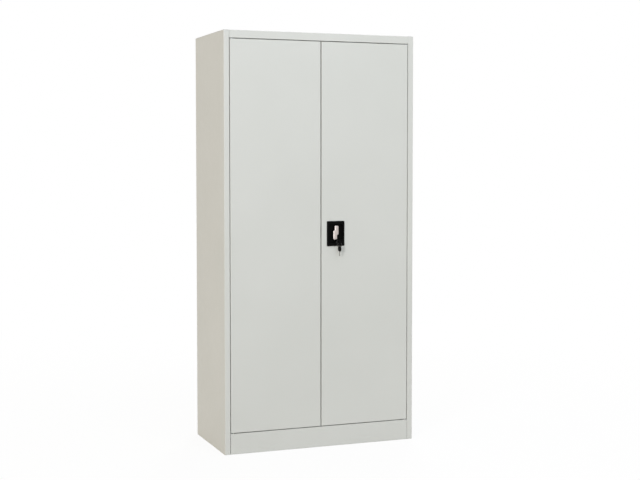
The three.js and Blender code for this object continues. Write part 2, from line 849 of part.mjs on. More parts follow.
rightDoor.add(
  piece('lock_housing', lockHousing(), blackPlastic),
  piece('lock_case', lockCase(), zinc),
  piece('cylinder_body', cylinderBody(), blackNickel),
  piece('rod_guide_upper', rodGuide(upperRodX, doorTop - guideInset), whiteNylon),
  piece('rod_guide_lower', rodGuide(lowerRodX, doorBottom + guideInset), whiteNylon),
  piece('lever_handle', leverHandle(), chrome),
  piece('lock_pinion', lockPinion(), zinc),
  piece('upper_rod', rackBar(doorTop - tipSetback - leverZ, rodWidth, 0, rodLayer), zinc),
  piece('lower_rod', rackBar(leverZ - doorBottom - tipSetback, rodWidth, Math.PI, rodLayer), zinc),
  piece('centre_bolt', rackBar(
    plateX - doorFree - tipSetback, boltWidth, Math.PI / 2, boltLayer,
  ), zinc),
  piece('cylinder_plug', cylinderPlug(), blackNickel),
);

const keyInLock = key('key');
keyInLock.position.set(plugX, keyHoleY, plugZ);
const ring = mesh('key_ring', keyRing(), blackNickel);
ring.position.set(plugX, keyHoleY, plugZ - ringRadius - ringDrop);
const spareKey = key('spare_key');
spareKey.position.set(plugX, keyHoleY, spareKeyZ);
spareKey.rotation.x = -Math.PI / 2;
rightDoor.add(keyInLock, ring, spareKey);

cupboard.position.y = (frontReach - depth) / 2;
const root = new THREE.Group();
root.add(cupboard);

export default root;
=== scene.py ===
"""Looks of a two-door steel storage cupboard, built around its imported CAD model.

Metres, +Z up. The front of the cupboard faces -Y, and the floor is at z = 0.
"""
import json
import math

import bmesh
import bpy
from mathutils import Matrix, Vector


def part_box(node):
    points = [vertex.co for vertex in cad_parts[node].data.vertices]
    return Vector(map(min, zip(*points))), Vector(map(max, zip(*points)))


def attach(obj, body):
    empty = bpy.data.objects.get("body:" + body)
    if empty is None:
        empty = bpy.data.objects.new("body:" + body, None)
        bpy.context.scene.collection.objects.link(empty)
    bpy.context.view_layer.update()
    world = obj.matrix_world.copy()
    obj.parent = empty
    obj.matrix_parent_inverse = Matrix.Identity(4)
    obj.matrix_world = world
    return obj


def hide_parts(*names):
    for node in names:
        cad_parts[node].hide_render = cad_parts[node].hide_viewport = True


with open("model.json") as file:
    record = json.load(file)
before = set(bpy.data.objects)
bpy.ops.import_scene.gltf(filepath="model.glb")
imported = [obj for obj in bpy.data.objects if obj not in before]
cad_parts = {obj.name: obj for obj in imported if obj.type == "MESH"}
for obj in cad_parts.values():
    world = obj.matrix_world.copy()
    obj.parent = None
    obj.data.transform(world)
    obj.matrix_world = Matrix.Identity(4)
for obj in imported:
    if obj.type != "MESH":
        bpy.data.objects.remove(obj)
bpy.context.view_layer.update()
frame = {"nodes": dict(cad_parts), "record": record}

# Camera. Its shift is given in pixels of the photograph
CAMERA_PLACE = (-2.0017, -5.3761, 1.2995)
CAMERA_TILT = math.radians(-2.87)
CAMERA_TURN = math.radians(-21.12)
CAMERA_LENS = 69.99
SHIFT_PIXELS = -20
PHOTO_WIDTH = 640

# Light. The sky turns warm towards WARM_SIDE, over that range of the cosine of the angle to it
LAMPS = {
    "key": {"place": (-10.9, -11.1, 4.0), "size": 3.6, "power": 1025.0, "colour": (0.99, 0.99, 1.01)},
    "top": {"place": (0.3, -2.9, 4.2), "size": 2.2, "power": 44.0, "colour": (0.92, 1.0, 1.12)},
    "back": {"place": (3.6, 6.8, 3.2), "size": 3.0, "power": 260.0, "colour": (1.0, 1.0, 1.0)},
}
LAMP_AIM = (0.0, 0.0, 1.0)
SKY_STRENGTH = 0.60
SKY_COLOUR = (0.97, 1.0, 1.02)
WARM_SIDE = (-1.0, 0.0, 0.0)
WARM_RANGE = (0.15, 0.75)
WARM_COLOUR = (0.85, 0.67, 0.42)
WHITE = (1, 1, 1, 1)

# Floor. To the eye it glows, from the first share to the second over that range of distance
FLOOR_SPREAD = 40.0
FLOOR_SHADE = (0.60, 0.575, 0.54)
FLOOR_GLOW_SHARES = (0.91, 1.0)
FLOOR_FADE = (0.8, 4.0)
UNDER_RISE = 0.0002

# The two shades of each material, between which its colour drifts
COAT_SHADES = ((0.640, 0.655, 0.625), (0.662, 0.676, 0.648))
ZINC_SHADES = ((0.50, 0.52, 0.54), (0.62, 0.64, 0.66))
CHROME_SHADES = ((0.545, 0.485, 0.460), (0.600, 0.535, 0.505))
NICKEL_SHADES = ((0.25, 0.24, 0.22), (0.32, 0.31, 0.29))
BLACK_NICKEL_SHADES = ((0.060, 0.059, 0.058), (0.085, 0.083, 0.081))
MOULDING_SHADES = ((0.0034, 0.0034, 0.0032), (0.0048, 0.0047, 0.0045))
NYLON_SHADES = ((0.74, 0.72, 0.66), (0.80, 0.78, 0.73))
RUBBER_SHADES = ((0.018, 0.018, 0.018), (0.035, 0.035, 0.034))
# Painted shade on the nylon: its colour goes dark towards this where other pieces lie within the reach,
# over that range of openness
PAINTED_SHADE_COLOUR = (0.028, 0.026, 0.023)
PAINTED_SHADE_REACH = 0.010
PAINTED_SHADE_RANGE = (0.55, 0.9)
NOISE_RANGE = (0.3, 0.7)

# Lever handle: two lobes, with a ridge down the middle of the outline, trimmed to lie in the solid's
LEVER_TRIM = 0.001
LOBE_WIDTH = 0.018
LOBE_OVERLAP = 0.012
LOBE_RADIUS = 0.005
STEP_RISE = 0.005
STEP_RADIUS = 0.003
WING_THICKNESS = 0.010
WING_EDGE = 0.0022
WING_SQUARENESS = 4.5
WING_RINGS = 96
WING_SIDES = 48
WING_END_SHARE = 0.9999
RIDGE_DROP = 0.0022
RIDGE_ROUNDNESS = 1.5
HUB_RADIUS = 0.0085
SHAFT_RADIUS = 0.005

# Lock plate
PLATE_THICKNESS = 0.0025
PLATE_RADIUS = 0.004
BODY_WIDTH = 0.074
BODY_HEIGHT = 0.102
BODY_RADIUS = 0.006
DISH_WIDTH = 0.070
DISH_HEIGHT = 0.086
DISH_RADIUS = 0.008
DISH_CORNER = 0.003
DISH_EDGE = 0.0012
DISH_FLOOR = 0.0025
ISLAND_RADIUS = 0.011
MOULD_EDGE = 0.0005

# Cylinder and its plug
BARREL_RADIUS = 0.009
RIM_THICKNESS = 0.0009
TURNED_EDGE = 0.0004
PLUG_RADIUS = 0.006
NECK_RADIUS = 0.005
CAM_THICKNESS = 0.0025
CAM_WIDTH = 0.006
CAM_RADIUS = 0.0015
CAM_EDGE = 0.0003

# Keys. Each cut of the bitting is as deep as its share of the blade's height
HEAD_LENGTH = 0.024
HEAD_HEIGHT = 0.022
HEAD_THICKNESS = 0.008
HEAD_RADIUS = 0.010
HEAD_EDGE = 0.0014
GRIP_LENGTH = 0.009
GRIP_HEIGHT = 0.015
GRIP_RADIUS_SHARE = 1 / 2.2
GRIP_DEPTH = 0.0007
HOLE_INSET = 0.0065
HOLE_RADIUS = 0.003
BLADE_THICKNESS = 0.002
BLADE_HEIGHT = 0.007
BLADE_LENGTH = 0.021
TANG_LENGTH = 0.008
BITTING_SHARES = (0.2, 0.38, 0.14, 0.3, 0.24)
FLAT_SHARE = 0.3
GROOVE_HEIGHT = 0.0016
GROOVE_DEPTH = 0.0005
GROOVE_DROP_SHARE = 0.2

# Key ring: two turns of flat wire that fill the solid's round wire and cross over halfway along
WIRE_RADIUS = 0.0009
WIRE_ROUNDNESS = 0.6
WIRE_THICKNESS_SHARE = 0.48
WIRE_END_SHARE = 0.55
WIRE_TAPER = 12
WIRE_STEPS = 180
WIRE_SIDES = 12
RING_TURNS = 1.97
RING_START = math.radians(100)
CROSSING_SHARES = (0.46, 0.54)

# Plinth and pivot bushes
SHEET = 0.0008
FOLD_RADIUS = 0.0016
SILL_FLANGE = 0.012
PLINTH_FOOT = 0.015
PLINTH_JOINT = 0.0008
SHEET_EDGE = 0.0002
ROD_WIDTH = 0.012
SLIDE = 0.0004
PIN_RADIUS = 0.003
FLANGE_THICKNESS = 0.0029
FLANGE_RADIUS = 0.0052
SLEEVE_RADIUS = 0.0048

# Small fittings. A profile goes through shares of the radius and of the rise
BUFFER_DOME = 0.0011
BUFFER_FLAT_SHARE = 0.35
SCREW_RADIUS = 0.003
SCREW_RISE = 0.0016
SCREW_SHARES = ((1, 1 / 3), (0.86, 0.75), (0.6, 1))
SCREW_RECESS = 0.0009
SCREW_SLOT = 0.00075
SCREW_INSET = 0.012
RIVET_RADIUS = 0.0024
RIVET_RISE = 0.0008
RIVET_SHARES = ((1, 0), (0.8, 0.7), (0.45, 1))
RIVET_PITCH = 0.3
WELD_RADIUS = 0.0026
WELD_RISE = 0.00015
WELD_SHARES = ((1, 0), (0.8, 1))
WELD_PITCH = 0.15
FOOT_WIDTH = 0.012

# Gaps, overruns of cutters, and how finely curves are cut up
CLEARANCE = 0.0003
OVERRUN = 0.005
ARC_STEPS = 8
ROUND_SIDES = 96
SCREW_SIDES = 32
WELD_SIDES = 20
SMOOTH_UP_TO = math.radians(38)

# The angles above which an edge is rounded: all edges, those of a moulding, and the rims of a prism
ANY_EDGE = math.radians(32)
MOULDING_EDGE = math.radians(45)
PRISM_RIM = math.radians(60)


def middle(name):
    """The centre of a CAD node's box."""
    low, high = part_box(name)
    return (low + high) / 2


# Materials
def preset(target, values):
    """Sets the inputs of a shader node by name, with _ for a space."""
    for name, value in values.items():
        target.inputs[name.replace("_", " ")].default_value = value


def node(tree, kind, **values):
    """A new shader node of that kind, with inputs preset."""
    made = tree.nodes.new("ShaderNode" + kind)
    preset(made, values)
    return made


def noise(tree, scale, detail=2.0, stretch=(1, 1, 1)):
    """The value of noise in the object's own coordinates, with its scale in waves per metre."""
    place = node(tree, "TexCoord")
    mapping = node(tree, "Mapping", Scale=stretch)
    made = node(tree, "TexNoise", Scale=scale, Detail=detail)
    tree.links.new(place.outputs["Object"], mapping.inputs["Vector"])
    tree.links.new(mapping.outputs["Vector"], made.inputs["Vector"])
    return made.outputs["Fac"]


def ranged(tree, value, low, high, source=NOISE_RANGE):
    """A value that lies in the range source, brought between low and high."""
    least, most = source
    made = node(tree, "MapRange", To_Min=low, To_Max=high, From_Min=least, From_Max=most)
    tree.links.new(value, made.inputs["Value"])
    return made.outputs["Result"]


def tinted(tree, value, first, second):
    """A colour that goes from first to second with value. Each is a colour or a node's output."""
    made = tree.nodes.new("ShaderNodeMix")
    made.data_type = "RGBA"
    for socket, colour in (("A", first), ("B", second)):
        if isinstance(colour, tuple):
            made.inputs[socket].default_value = (*colour, 1)
        else:
            tree.links.new(colour, made.inputs[socket])
    tree.links.new(value, made.inputs["Factor"])
    return made.outputs["Result"]


def shaded(tree, scale, shades):
    """A colour that drifts between two shades with noise of that scale."""
    return tinted(tree, ranged(tree, noise(tree, scale), 0, 1), *shades)


def bumped(tree, height, relief, edge):
    """A normal with bumps of that relief, and with sharp edges rounded to the radius edge."""
    bevel = node(tree, "Bevel", Radius=edge)
    bump = node(tree, "Bump", Distance=relief)
    tree.links.new(bevel.outputs["Normal"], bump.inputs["Normal"])
    tree.links.new(height, bump.inputs["Height"])
    return bump.outputs["Normal"]


def material(name, **values):
    """A material, its node tree and its Principled shader, with the shader's own sockets preset."""
    made = bpy.data.materials.new(name)
    made.use_nodes = True
    shader = made.node_tree.nodes["Principled BSDF"]
    preset(shader, values)
    return made, made.node_tree, shader


def coated(tree, shader, colour, roughness, normal):
    """Links a colour, a roughness and a normal to the shader."""
    tree.links.new(colour, shader.inputs["Base Color"])
    tree.links.new(roughness, shader.inputs["Roughness"])
    tree.links.new(normal, shader.inputs["Normal"])


def powder_coat():
    """Pale grey powder coat with a fine orange peel and faint cloudy changes of shade."""
    made, tree, shader = material("powder_coat", IOR=1.5, Specular_IOR_Level=0.35)
    coated(
        tree, shader,
        shaded(tree, scale=2.5, shades=COAT_SHADES),
        ranged(tree, noise(tree, scale=35), low=0.42, high=0.52),
        bumped(tree, noise(tree, scale=650, detail=3), relief=0.00006, edge=0.0009),
    )
    return made


def zinc_plate():
    """Bright zinc plate with the drawn grain of the strip under it."""
    made, tree, shader = material("zinc_plate", Metallic=1.0)
    grain = noise(tree, scale=90, detail=4, stretch=(8, 8, 1))
    coated(
        tree, shader,
        shaded(tree, scale=60, shades=ZINC_SHADES),
        ranged(tree, grain, low=0.28, high=0.45),
        bumped(tree, grain, relief=0.00003, edge=0.0003),
    )
    return made


def chrome_plate():
    """Chrome on a die casting: bright, with the faintest waviness and wear."""
    made, tree, shader = material("chrome_plate", Metallic=1.0)
    coated(
        tree, shader,
        shaded(tree, scale=55, shades=CHROME_SHADES),
        ranged(tree, noise(tree, scale=140, detail=3), low=0.34, high=0.44),
        bumped(tree, noise(tree, scale=220, detail=1), relief=0.00003, edge=0.0004),
    )
    return made


def nickel_plate():
    """Nickel plate on brass, dulled and lightly scratched along the blade by use."""
    made, tree, shader = material("nickel_plate", Metallic=1.0)
    scratches = noise(tree, scale=260, detail=4, stretch=(4, 0.3, 4))
    coated(
        tree, shader,
        shaded(tree, scale=90, shades=NICKEL_SHADES),
        ranged(tree, scratches, low=0.24, high=0.42),
        bumped(tree, scratches, relief=0.00002, edge=0.0002),
    )
    return made


def black_nickel_plate():
    """Black nickel plate: a dark metal with a low sheen."""
    made, tree, shader = material("black_nickel_plate", Metallic=1.0)
    haze = noise(tree, scale=200, detail=3)
    coated(
        tree, shader,
        shaded(tree, scale=70, shades=BLACK_NICKEL_SHADES),
        ranged(tree, haze, low=0.26, high=0.40),
        bumped(tree, haze, relief=0.00001, edge=0.0002),
    )
    return made


def black_moulding():
    """Black moulded plastic with a fine spark-eroded grain."""
    made, tree, shader = material("black_moulding", IOR=1.46, Specular_IOR_Level=0.04)
    coated(
        tree, shader,
        shaded(tree, scale=30, shades=MOULDING_SHADES),
        ranged(tree, noise(tree, scale=400), low=0.38, high=0.52),
        bumped(tree, noise(tree, scale=1800), relief=0.00003, edge=0.0003),
    )
    return made


def white_nylon():
    """Natural nylon, a little waxy, with painted shade: its colour goes dark where it sits close to other
    pieces.
    """
    made, tree, shader = material("white_nylon", Subsurface_Weight=0.15, Subsurface_Scale=0.002)
    # Painted shade: ambient occlusion darkens the colour where other pieces close the nylon in
    openness = node(tree, "AmbientOcclusion", Distance=PAINTED_SHADE_REACH).outputs["AO"]
    unshaded = ranged(tree, openness, 0, 1, PAINTED_SHADE_RANGE)
    coated(
        tree, shader,
        tinted(tree, unshaded, PAINTED_SHADE_COLOUR, shaded(tree, scale=120, shades=NYLON_SHADES)),
        ranged(tree, noise(tree, scale=300), low=0.42, high=0.55),
        bumped(tree, noise(tree, scale=900), relief=0.00002, edge=0.0003),
    )
    return made


def dark_rubber():
    """Moulded rubber with a dull bloom."""
    made, tree, shader = material("dark_rubber")
    coated(
        tree, shader,
        shaded(tree, scale=200, shades=RUBBER_SHADES),
        ranged(tree, noise(tree, scale=400), low=0.70, high=0.85),
        bumped(tree, noise(tree, scale=1200), relief=0.00005, edge=0.0004),
    )
    return made


MATERIALS = {
    "paint": powder_coat(),
    "zinc": zinc_plate(),
    "nickel": nickel_plate(),
    "black_nickel": black_nickel_plate(),
    "chrome": chrome_plate(),
    "black_plastic": black_moulding(),
    "nylon": white_nylon(),
    "rubber": dark_rubber(),
}


def cad_materials():
    """Gives each CAD node the material of its slot."""
    slots = {part["node"]: part["material_slot"] for part in frame["record"]["subparts"]}
    for name, cad in frame["nodes"].items():
        cad.data.materials.clear()
        cad.data.materials.append(MATERIALS[slots[name]])


# Outlines
def outline(corners):
    """The points of a closed outline through corners (u, v, radius), with an arc at each round corner."""
    points = []
    for i, (u, v, radius) in enumerate(corners):
        corner = Vector((u, v))
        if radius == 0:
            points.append(corner)
            continue
        before = (Vector(corners[i - 1][:2]) - corner).normalized()
        after = (Vector(corners[(i + 1) % len(corners)][:2]) - corner).normalized()
        half = before.angle(after) / 2
        centre = corner + (before + after).normalized() * radius / math.sin(half)
        start = corner + before * radius / math.tan(half) - centre
        sweep = start.angle_signed(corner + after * radius / math.tan(half) - centre)
        for step in range(ARC_STEPS + 1):
            points.append(centre + Matrix.Rotation(-sweep * step / ARC_STEPS, 2) @ start)
    return points


def rectangle(wide, tall, radius, u=0.0, v=0.0):
    """A rectangle about (u, v), with that radius at its corners."""
    half_wide = wide / 2
    half_tall = tall / 2
    return outline([
        (u - half_wide, v - half_tall, radius),
        (u + half_wide, v - half_tall, radius),
        (u + half_wide, v + half_tall, radius),
        (u - half_wide, v + half_tall, radius),
    ])


def circle(radius, sides=ROUND_SIDES):
    """The corners of a circle about the origin, cut up into that many sides."""
    turns = [2 * math.pi * i / sides for i in range(sides)]
    return [Vector((radius * math.cos(t), radius * math.sin(t))) for t in turns]


def span_at(points, height):
    """The left and right end of an outline at a height."""
    found = []
    for (u0, v0), (u1, v1) in zip(points, points[1:] + points[:1]):
        if (v0 - height) * (v1 - height) <= 0 and v0 != v1:
            found.append(u0 + (u1 - u0) * (height - v0) / (v1 - v0))
    return min(found), max(found)


def signed_power(value, exponent):
    """The power of a value that keeps its sign."""
    return math.copysign(abs(value) ** exponent, value)


# Places, which turn a point (u, v) of an outline and a depth into a point of the scene
def facing(x, z):
    """For outlines of x and z about a point, with depth along y."""
    return lambda u, v, depth: (x + u, depth, z + v)


def standing(x, y):
    """For outlines of x and y about a point, with depth along z."""
    return lambda u, v, depth: (x + u, y + v, depth)


def lengthways(u, v, depth):
    """For outlines of y and z, with depth along x."""
    return (depth, u, v)


# Meshes
def shown(name, vertices, faces):
    """A new mesh object in the scene."""
    mesh = bpy.data.meshes.new(name)
    mesh.from_pydata([tuple(v) for v in vertices], [], faces)
    mesh.validate()
    made = bpy.data.objects.new(name, mesh)
    bpy.context.scene.collection.objects.link(made)
    return made


def outward(piece):
    """Turns every face of a closed mesh outward."""
    work = bmesh.new()
    work.from_mesh(piece.data)
    bmesh.ops.recalc_face_normals(work, faces=work.faces)
    work.to_mesh(piece.data)
    work.free()


def loft(name, rings, closed=False):
    """A solid skin through rings of as many points each. It has caps, unless it closes on itself."""
    count = len(rings[0])
    vertices = [point for ring in rings for point in ring]
    spans = len(rings) if closed else len(rings) - 1
    faces = []
    for i in range(spans):
        here = i * count
        there = (i + 1) % len(rings) * count
        for j in range(count):
            k = (j + 1) % count
            faces.append((here + j, here + k, there + k, there + j))
    if not closed:
        faces.append(tuple(reversed(range(count))))
        faces.append(tuple(range(spans * count, (spans + 1) * count)))
    made = shown(name, vertices, faces)
    outward(made)
    return made


def prism(name, points, near, far, place):
    """An outline made solid between two depths."""
    return loft(name, [[place(u, v, depth) for u, v in points] for depth in (near, far)])


def revolved(name, profile, place, closed=False, sides=ROUND_SIDES):
    """A profile of radius and depth, turned about the axis that place runs along."""
    rings = [[place(u, v, depth) for u, v in circle(radius, sides)] for radius, depth in profile]
    return loft(name, rings, closed)


def together(name, pieces):
    """One object of several pieces that keep apart, which are used up."""
    work = bmesh.new()
    for piece in pieces:
        work.from_mesh(piece.data)
        bpy.data.objects.remove(piece)
    made = shown(name, [], [])
    work.to_mesh(made.data)
    work.free()
    return made


def settled(piece):
    """Applies the modifiers of a piece."""
    graph = bpy.context.evaluated_depsgraph_get()
    mesh = bpy.data.meshes.new_from_object(piece.evaluated_get(graph))
    piece.modifiers.clear()
    piece.data = mesh
    return piece


def combined(piece, tool, operation):
    """Joins or cuts a piece with a tool, which is used up."""
    modifier = piece.modifiers.new("combine", "BOOLEAN")
    modifier.operation = operation
    modifier.solver = "EXACT"
    modifier.object = tool
    settled(piece)
    bpy.data.objects.remove(tool)


def cut(piece, *tools):
    """A piece less some tools."""
    for tool in tools:
        combined(piece, tool, "DIFFERENCE")
    return piece


def joined(piece, *tools):
    """A piece made one with some tools."""
    for tool in tools:
        combined(piece, tool, "UNION")
    return piece


def rounded(piece, width, segments=3, angle=ANY_EDGE):
    """Rounds the edges of a piece that bend more than the angle."""
    modifier = piece.modifiers.new("round", "BEVEL")
    modifier.width = width
    modifier.segments = segments
    modifier.limit_method = "ANGLE"
    modifier.angle_limit = angle
    return settled(piece)


def placed(piece, matrix):
    """Moves the mesh of a piece."""
    piece.data.transform(matrix)
    return piece


def dressed(piece, body, slot, *nodes):
    """Gives a finished piece its shading, the material of its slot and its body, and hides the CAD nodes
    that it stands for.
    """
    piece.data.shade_smooth()
    piece.data.set_sharp_from_angle(angle=SMOOTH_UP_TO)
    flat_faces = piece.modifiers.new("flat faces", "WEIGHTED_NORMAL")
    flat_faces.keep_sharp = True
    settled(piece)
    piece.data.materials.clear()
    piece.data.materials.append(MATERIALS[slot])
    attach(piece, body)
    if nodes:
        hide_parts(*nodes)
    return piece


# Lever handle
def lever_outline(tall, half):
    """The two lobes from the front, about the axis. Each is the other turned by half a turn."""
    inner = LOBE_WIDTH - half
    lobe = [
        (-inner, tall, STEP_RADIUS),
        (half, tall, LOBE_RADIUS),
        (half, STEP_RISE - LOBE_OVERLAP, STEP_RADIUS),
        (inner, -LOBE_OVERLAP, STEP_RADIUS),
    ]
    return outline(lobe + [(-u, -v, radius) for u, v, radius in lobe])


def lever_wing(low, high):
    """The casting, through level rings that are nearly rectangles, with its front drawn to a ridge."""
    centre = (low + high) / 2
    tall = (high.z - low.z) / 2 - LEVER_TRIM
    edge = lever_outline(tall, (high.x - low.x) / 2 - LEVER_TRIM)
    rear = low.y + WING_THICKNESS
    rings = []
    for i in range(WING_RINGS + 1):
        height = tall * math.sin(math.pi * (i / WING_RINGS - 0.5)) * WING_END_SHARE
        left, right = span_at(edge, height)
        past = max(0.0, abs(height) - tall + WING_EDGE) / WING_EDGE
        inset = WING_EDGE * (1 - math.sqrt(max(0.0, 1 - past ** 2)))
        front = low.y + inset
        back = rear - inset
        ring = []
        for j in range(WING_SIDES):
            turn = 2 * math.pi * j / WING_SIDES
            across = signed_power(math.cos(turn), 2 / WING_SQUARENESS)
            deep = signed_power(math.sin(turn), 2 / WING_SQUARENESS)
            x = centre.x + (left + right) / 2 + across * (right - left) / 2
            y = (front + back) / 2 + deep * (back - front) / 2
            y += RIDGE_DROP * abs(across) ** RIDGE_ROUNDNESS * max(0.0, -deep)
            ring.append((x, y, centre.z + height))
        rings.append(ring)
    return loft("lever_handle_casting", rings)


def lever_handle():
    """The casting with its hub and shaft."""
    low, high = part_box("lever_handle")
    centre = (low + high) / 2
    rear = low.y + WING_THICKNESS
    hub_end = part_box("lock_housing")[1].y - DISH_FLOOR - CLEARANCE
    hub = revolved("hub", [
        (HUB_RADIUS - WING_EDGE / 2, rear - WING_EDGE),
        (HUB_RADIUS, rear),
        (HUB_RADIUS, hub_end),
        (SHAFT_RADIUS, hub_end),
        (SHAFT_RADIUS, high.y),
    ], facing(centre.x, centre.z))
    dressed(joined(lever_wing(low, high), hub), "turn_handle", "chrome", "lever_handle")


# Lock housing
def dish(low, high, barrel):
    """The cutter for the dish, which leaves an island round the lock's barrel."""
    centre = (low + high) / 2
    island_left = barrel.x - centre.x - ISLAND_RADIUS
    island_top = barrel.z - centre.z + ISLAND_RADIUS
    half_wide = DISH_WIDTH / 2
    half_tall = DISH_HEIGHT / 2
    edge = outline([
        (-half_wide, -half_tall, DISH_RADIUS),
        (island_left, -half_tall, DISH_CORNER),
        (island_left, island_top, ISLAND_RADIUS),
        (half_wide, island_top, DISH_CORNER),
        (half_wide, half_tall, DISH_RADIUS),
        (-half_wide, half_tall, DISH_RADIUS),
    ])
    made = prism("dish", edge, low.y - OVERRUN, high.y - DISH_FLOOR, facing(centre.x, centre.z))
    return rounded(made, DISH_EDGE, angle=PRISM_RIM)


def lock_housing():
    """The moulded plate and the body behind it, with the dish and the two holes through it."""
    low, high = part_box("lock_housing")
    centre = (low + high) / 2
    lever = middle("lever_handle")
    barrel = middle("cylinder_body")
    at_centre = facing(centre.x, centre.z)
    plate = prism(
        "lock_housing_moulding", rectangle(high.x - low.x, high.z - low.z, PLATE_RADIUS),
        low.y, low.y + PLATE_THICKNESS, at_centre,
    )
    body = prism(
        "body", rectangle(BODY_WIDTH, BODY_HEIGHT, BODY_RADIUS),
        low.y + PLATE_THICKNESS / 2, high.y, at_centre,
    )
    through = (low.y - OVERRUN, high.y + OVERRUN)
    shaft_hole = prism("hole", circle(SHAFT_RADIUS + CLEARANCE), *through, facing(lever.x, lever.z))
    lock_hole = prism("hole", circle(BARREL_RADIUS + CLEARANCE), *through, facing(barrel.x, barrel.z))
    cut(joined(plate, body), dish(low, high, barrel), shaft_hole, lock_hole)
    rounded(plate, MOULD_EDGE, angle=MOULDING_EDGE)
    dressed(plate, "right_door", "black_plastic", "lock_housing")


# Lock cylinder and its plug
def cylinder():
    """The barrel with its rim, bored for the plug."""
    low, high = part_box("cylinder_body")
    centre = (low + high) / 2
    rim = (high.x - low.x) / 2
    bore = PLUG_RADIUS + CLEARANCE
    body = revolved("cylinder_body_turned", [
        (bore, high.y),
        (bore, low.y + TURNED_EDGE),
        (bore + TURNED_EDGE, low.y),
        (rim - 2 * TURNED_EDGE, low.y),
        (rim - TURNED_EDGE / 2, low.y + TURNED_EDGE / 4),
        (rim, low.y + TURNED_EDGE),
        (rim, low.y + RIM_THICKNESS),
        (BARREL_RADIUS, low.y + RIM_THICKNESS),
        (BARREL_RADIUS, high.y),
    ], facing(centre.x, centre.z), closed=True)
    dressed(body, "right_door", "black_nickel", "cylinder_body")


def plug():
    """The plug with its neck, its cam and its keyway."""
    low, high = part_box("cylinder_plug")
    centre = middle("cylinder_body")
    at_centre = facing(centre.x, centre.z)
    cam_front = high.y - CAM_THICKNESS
    barrel_end = cam_front - CLEARANCE
    body = revolved("cylinder_plug_turned", [
        (PLUG_RADIUS - TURNED_EDGE, low.y),
        (PLUG_RADIUS, low.y + TURNED_EDGE),
        (PLUG_RADIUS, barrel_end),
        (NECK_RADIUS, barrel_end),
        (NECK_RADIUS, high.y),
    ], at_centre)
    cam_left = -CAM_WIDTH / 2
    cam_right = high.x - centre.x
    cam_edge = rectangle(cam_right - cam_left, CAM_WIDTH, CAM_RADIUS, (cam_right + cam_left) / 2)
    cam = rounded(prism("cam", cam_edge, cam_front, high.y, at_centre), CAM_EDGE)
    keyway = prism(
        "keyway", rectangle(BLADE_THICKNESS + 2 * CLEARANCE, BLADE_HEIGHT + 2 * CLEARANCE, 0),
        low.y - OVERRUN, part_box("key_blade")[1].y + CLEARANCE, at_centre,
    )
    dressed(cut(joined(body, cam), keyway), "plug", "black_nickel", "cylinder_plug")


# Keys, drawn about the hole in the head with the blade along +Y
def key_head(name):
    """The moulded head, with its hole, the slot that holds the blade, and a grip sunk in each side."""
    half_thick = HEAD_THICKNESS / 2
    shoulder = HEAD_LENGTH - HOLE_INSET
    edge = rectangle(HEAD_LENGTH, HEAD_HEIGHT, HEAD_RADIUS, HEAD_LENGTH / 2 - HOLE_INSET)
    head = prism(name, edge, -half_thick, half_thick, lengthways)
    rounded(head, HEAD_EDGE, segments=4, angle=PRISM_RIM)
    hole = prism("hole", circle(HOLE_RADIUS), -HEAD_THICKNESS, HEAD_THICKNESS, lengthways)
    slot_edge = rectangle(2 * (TANG_LENGTH + CLEARANCE), BLADE_HEIGHT + 2 * CLEARANCE, 0, shoulder)
    slot_half = BLADE_THICKNESS / 2 + CLEARANCE
    slot = prism("slot", slot_edge, -slot_half, slot_half, lengthways)
    grip_radius = GRIP_LENGTH * GRIP_RADIUS_SHARE
    grip_edge = rectangle(GRIP_LENGTH, GRIP_HEIGHT, grip_radius, shoulder - GRIP_LENGTH)
    grips = []
    for side in (-1, 1):
        grip = prism(
            "grip", grip_edge, side * (half_thick - GRIP_DEPTH), side * HEAD_THICKNESS, lengthways,
        )
        grips.append(rounded(grip, GRIP_DEPTH / 2, segments=2, angle=PRISM_RIM))
    return cut(head, hole, slot, *grips)


def key_blade(name):
    """The milled blade, with its cuts from the tip backward and a groove along each side."""
    half = BLADE_HEIGHT / 2
    shoulder = HEAD_LENGTH - HOLE_INSET
    start = shoulder - TANG_LENGTH
    end = shoulder + BLADE_LENGTH
    spacing = BLADE_LENGTH / (len(BITTING_SHARES) + 1)
    flat = FLAT_SHARE * spacing
    corners = [(start, -half), (end - half, -half), (end, 0), (end - half / 2, half)]
    for i, share in enumerate(BITTING_SHARES):
        u = end - spacing * (i + 1)
        v = half - share * BLADE_HEIGHT
        corners += [(u + flat / 2, v), (u - flat / 2, v), (u - spacing / 2, half)]
    corners.append((start, half))
    thick = BLADE_THICKNESS / 2
    blade = prism(name, [Vector(corner) for corner in corners], -thick, thick, lengthways)
    groove_edge = rectangle(
        2 * BLADE_LENGTH, GROOVE_HEIGHT, 0, shoulder + BLADE_LENGTH, -GROOVE_DROP_SHARE * BLADE_HEIGHT,
    )
    grooves = [
        prism("groove", groove_edge, side * (thick - GROOVE_DEPTH), side * 2 * thick, lengthways)
        for side in (-1, 1)
    ]
    return cut(blade, *grooves)


def keys():
    """The key in the lock, and the spare key, which hangs with its blade down."""
    turned = Matrix.Rotation(-math.pi / 2, 4, "X")
    main_low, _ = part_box("key_head")
    _, spare_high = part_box("spare_key_head")
    main = middle("key_head")
    main.y = main_low.y + HOLE_INSET
    spare = middle("spare_key_head")
    spare.z = spare_high.z - HOLE_INSET
    for prefix, body, place in (
        ("", "main_key", Matrix.Translation(main)),
        ("spare_", "second_key", Matrix.Translation(spare) @ turned),
    ):
        head = placed(key_head(f"{prefix}key_head_moulding"), place)
        dressed(head, body, "black_plastic", f"{prefix}key_head")
        blade = placed(key_blade(f"{prefix}key_blade_milled"), place)
        dressed(blade, body, "nickel", f"{prefix}key_blade")


def eased(share):
    """A share between 0 and 1, drawn to a smooth start and end."""
    share = min(1.0, max(0.0, share))
    return share * share * (3 - 2 * share)


